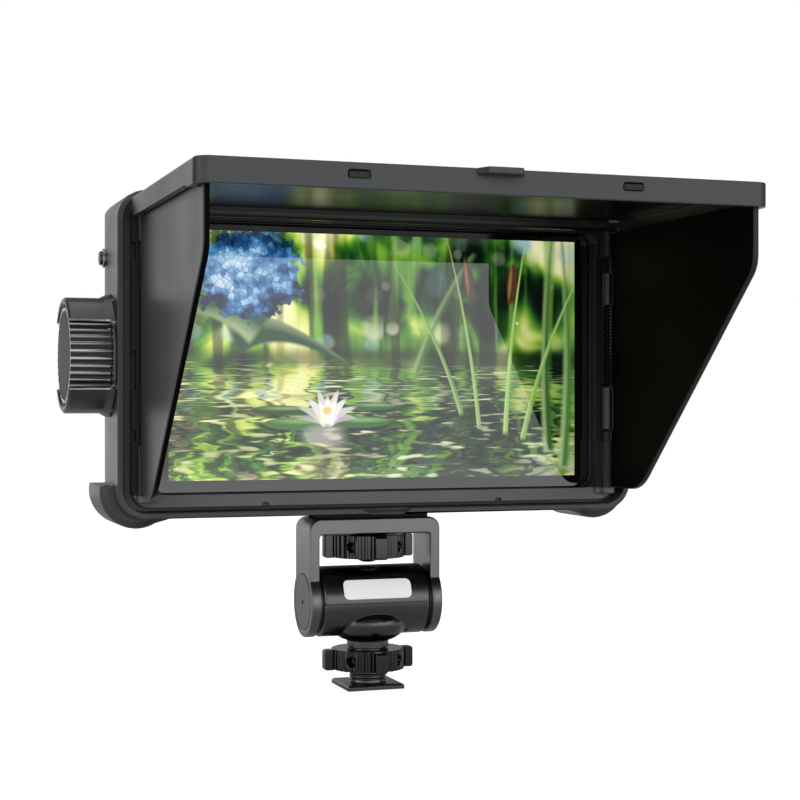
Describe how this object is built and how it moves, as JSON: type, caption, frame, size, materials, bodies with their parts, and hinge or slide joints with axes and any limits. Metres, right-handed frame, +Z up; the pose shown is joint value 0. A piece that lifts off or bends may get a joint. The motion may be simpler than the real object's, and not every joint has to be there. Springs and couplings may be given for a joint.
{
  "type": "camera field monitor with sun hood",
  "caption": "Flat camera-top screen with a folding three-sided sun hood and a side dial, on a tilting cold-shoe mount.",
  "frame": {"origin": "middle of the underside of the cold-shoe foot", "axes": "+X to the viewer's right, along the picture's width; the screen faces -Y; +Z up"},
  "size_m": [0.1816, 0.1354, 0.152],
  "materials": {
    "black_metal": "satin black anodised",
    "gray_metal": "fine satin dark grey coat",
    "gloss_black": "glossy black",
    "pale_plate": "bare satin plate",
    "steel": "plain steel",
    "black_plastic": "fine matt grain",
    "gray_plastic": "satin charcoal",
    "black_rubber": "matt",
    "brass": "plain",
    "dark_glass": "glossy dark cover glass",
    "white_plastic": "matt",
    "aluminium": "satin",
    "board": "solder mask",
    "red_plastic": "matt"
  },
  "bodies": {
    "mount_base": {"shoe_foot": "black_metal", "tilt_head_body": "gray_metal", "tilt_head_cap": "gray_metal", "head_plate": "pale_plate", "tilt_axle": "steel", "friction_washers": "steel"},
    "lock_wheel": {"shoe_lock_wheel": "gloss_black"},
    "tilt_yoke": {"yoke": "gray_metal", "ear_caps": "black_plastic", "yoke_pad": "black_rubber"},
    "thumb_screw": {"mount_screw": "steel", "thumb_wheel": "gloss_black"},
    "monitor": {"tripod_insert": "brass", "front_rim": "gray_plastic", "back_cover": "gray_plastic", "cover_glass": "dark_glass", "lcd_panel": "dark_glass", "backlight_unit": "white_plastic", "mid_chassis": "aluminium", "main_board": "board", "heat_sink": "aluminium", "port_shells": "steel", "dial_guard": "gray_plastic", "dial_encoder": "black_plastic", "button_ring": "steel", "battery_plate": "black_plastic", "battery_contacts": "brass", "hood_frame": "black_plastic", "lid_rod": "steel", "left_rod": "steel", "right_rod": "steel", "left_spring": "steel", "right_spring": "steel"},
    "dial": {"dial_wheel": "aluminium", "dial_shaft": "steel", "dial_cap": "gray_metal"},
    "power_key": {"power_button": "steel"},
    "release_key": {"battery_release": "red_plastic"},
    "lid": {"hood_lid": "gray_plastic", "lid_tab": "black_plastic", "lid_plugs": "black_plastic"},
    "left_side_flap": {"left_flap": "black_plastic"},
    "right_side_flap": {"right_flap": "black_plastic"}
  },
  "joints": [
    {"name": "lock_wheel_spin", "type": "hinge", "parent": "mount_base", "child": "lock_wheel", "pos_m": [0, 0, 0.0089], "axis": [0, 0, 1], "continuous": true},
    {"name": "yoke_tilt", "type": "hinge", "parent": "mount_base", "child": "tilt_yoke", "pos_m": [0, 0, 0.0273], "axis": [1, 0, 0], "range_deg": [-90, 90]},
    {"name": "thumb_screw_spin", "type": "hinge", "parent": "tilt_yoke", "child": "thumb_screw", "pos_m": [0, 0, 0.0445], "axis": [0, 0, 1], "continuous": true},
    {"name": "monitor_pan", "type": "hinge", "parent": "tilt_yoke", "child": "monitor", "pos_m": [0, 0, 0.055], "axis": [0, 0, 1], "continuous": true},
    {"name": "dial_spin", "type": "hinge", "parent": "monitor", "child": "dial", "pos_m": [-0.09, -0.00255, 0.1035], "axis": [1, 0, 0], "continuous": true},
    {"name": "power_press", "type": "slide", "parent": "monitor", "child": "power_key", "axis": [1, 0, 0], "range_m": [0, 0.0006], "stiffness_N_per_m": 1500, "springref_m": -0.0004},
    {"name": "release_slide", "type": "slide", "parent": "monitor", "child": "release_key", "axis": [0, 0, -1], "range_m": [0, 0.002], "stiffness_N_per_m": 500, "springref_m": -0.001},
    {"name": "lid_hinge", "type": "hinge", "parent": "monitor", "child": "lid", "pos_m": [0, -0.0223, 0.1458], "axis": [-1, 0, 0], "range_deg": [-2, 20]},
    {"name": "left_flap_hinge", "type": "hinge", "parent": "monitor", "child": "left_side_flap", "pos_m": [-0.0746, -0.021, 0.1034], "axis": [0, 0, 1], "range_deg": [0, 90], "stiffness_Nm_per_rad": 0.008, "springref_deg": -40.11},
    {"name": "right_flap_hinge", "type": "hinge", "parent": "monitor", "child": "right_side_flap", "pos_m": [0.0746, -0.0188, 0.1034], "axis": [0, 0, -1], "range_deg": [0, 90], "stiffness_Nm_per_rad": 0.008, "springref_deg": -40.11}
  ]
}
